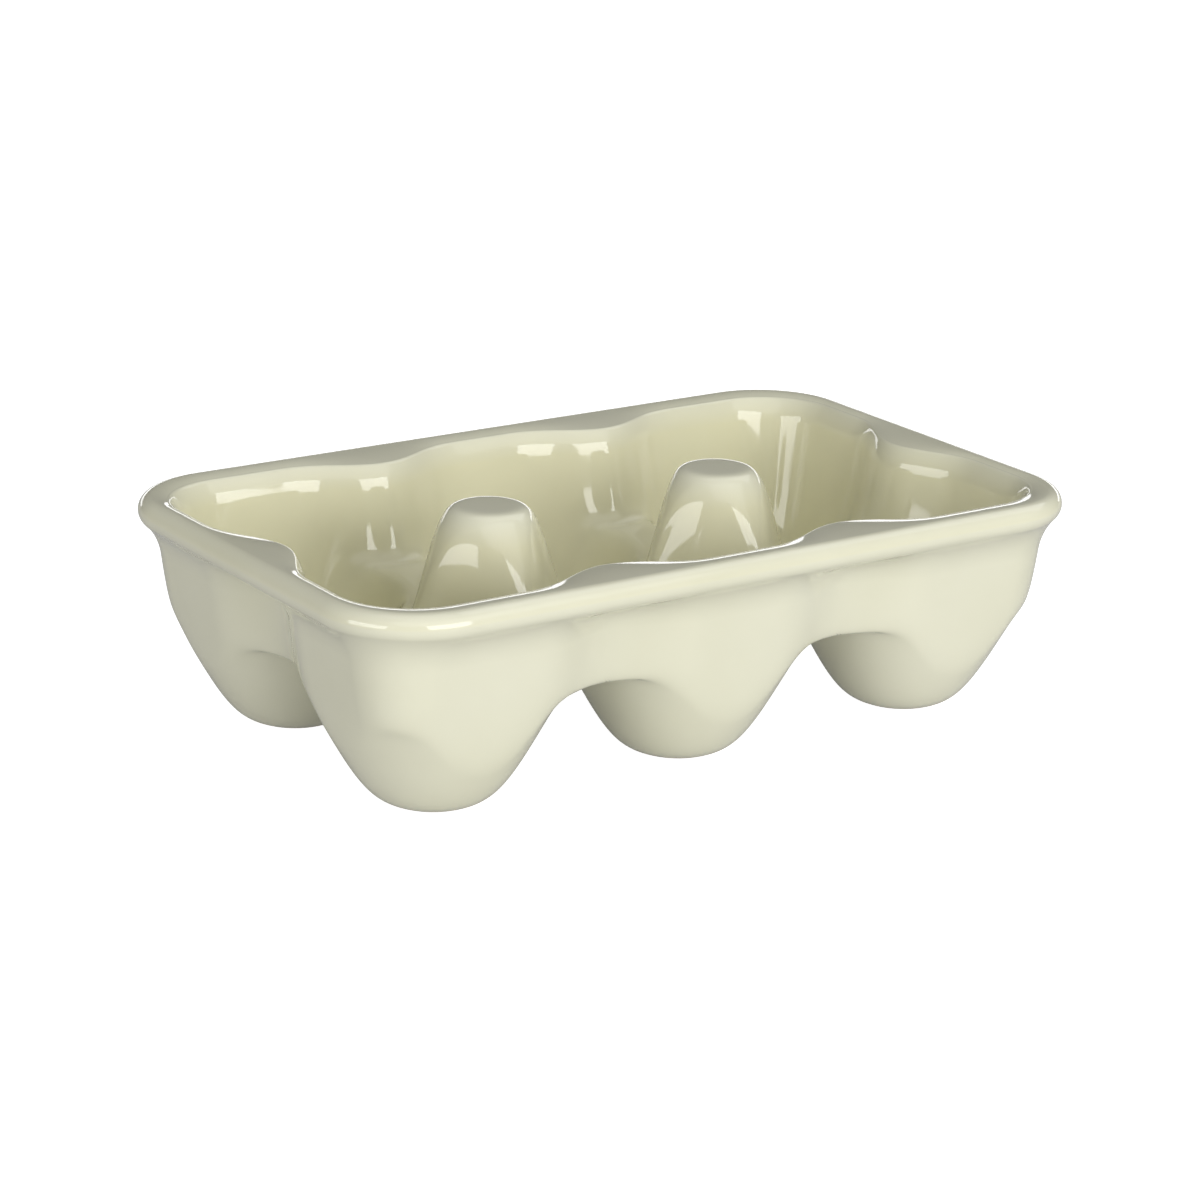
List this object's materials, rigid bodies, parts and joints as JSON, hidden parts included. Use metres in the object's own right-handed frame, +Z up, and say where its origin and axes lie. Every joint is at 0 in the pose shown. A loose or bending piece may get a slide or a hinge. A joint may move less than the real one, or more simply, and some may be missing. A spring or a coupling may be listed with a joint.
{
  "type": "egg holder tray",
  "caption": "Glazed pottery tray with round cups for hen's eggs in two rows, hollow posts between the cups, a rolled rim and small bare feet.",
  "frame": {"origin": "on the table, under the middle of the tray", "axes": "+X along the tray's length, +Y towards its back long side, +Z up"},
  "size_m": [0.205, 0.131, 0.057],
  "materials": {
    "glaze": "glossy pale celadon cream glaze",
    "bare_clay": "unglazed, matt, fine-grained fired clay"
  },
  "bodies": {
    "root": {"rim": "glaze", "wall": "glaze", "cup_front_left": "glaze", "cup_front_middle": "glaze", "cup_front_right": "glaze", "cup_back_left": "glaze", "cup_back_middle": "glaze", "cup_back_right": "glaze", "post_left": "glaze", "post_right": "glaze", "foot_front_left": "bare_clay", "foot_front_middle": "bare_clay", "foot_front_right": "bare_clay", "foot_back_left": "bare_clay", "foot_back_middle": "bare_clay", "foot_back_right": "bare_clay"}
  },
  "joints": []
}
